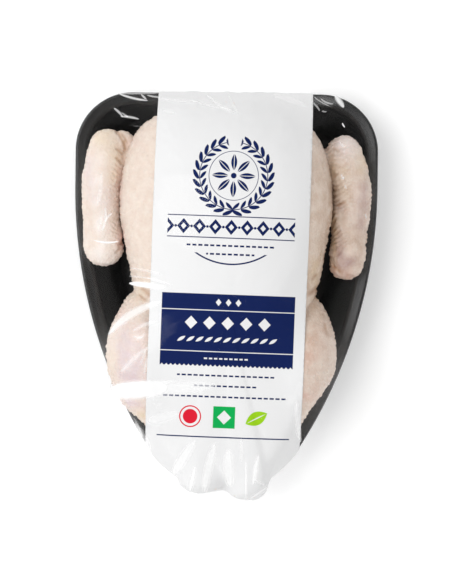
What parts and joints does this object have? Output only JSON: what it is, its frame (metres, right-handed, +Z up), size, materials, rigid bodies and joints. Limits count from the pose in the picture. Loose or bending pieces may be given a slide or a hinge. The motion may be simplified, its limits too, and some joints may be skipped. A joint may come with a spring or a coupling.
{
  "type": "whole raw chicken in a wrapped tray",
  "caption": "Whole raw chicken lying breast up in a tapered foam tray, with a paper band over it from end to end and clear film stretched round the whole pack.",
  "frame": {"origin": "under the middle of the pack, on the surface it lies on", "axes": "+Z up, +Y towards the neck, which is the wide end of the tray, and +X to the right of the pack seen from above with the neck at the top"},
  "size_m": [0.2216, 0.296, 0.111],
  "materials": {
    "foam": "black foamed plastic with a fine grain and a dull sheen",
    "skin": "pale moist raw poultry skin with fine pimples",
    "paper": "smooth white paper printed in navy, red, green and lime",
    "film": "clear glossy stretch film"
  },
  "bodies": {
    "root": {"tray": "foam", "chicken": "skin", "band": "paper", "film": "film"}
  },
  "joints": []
}
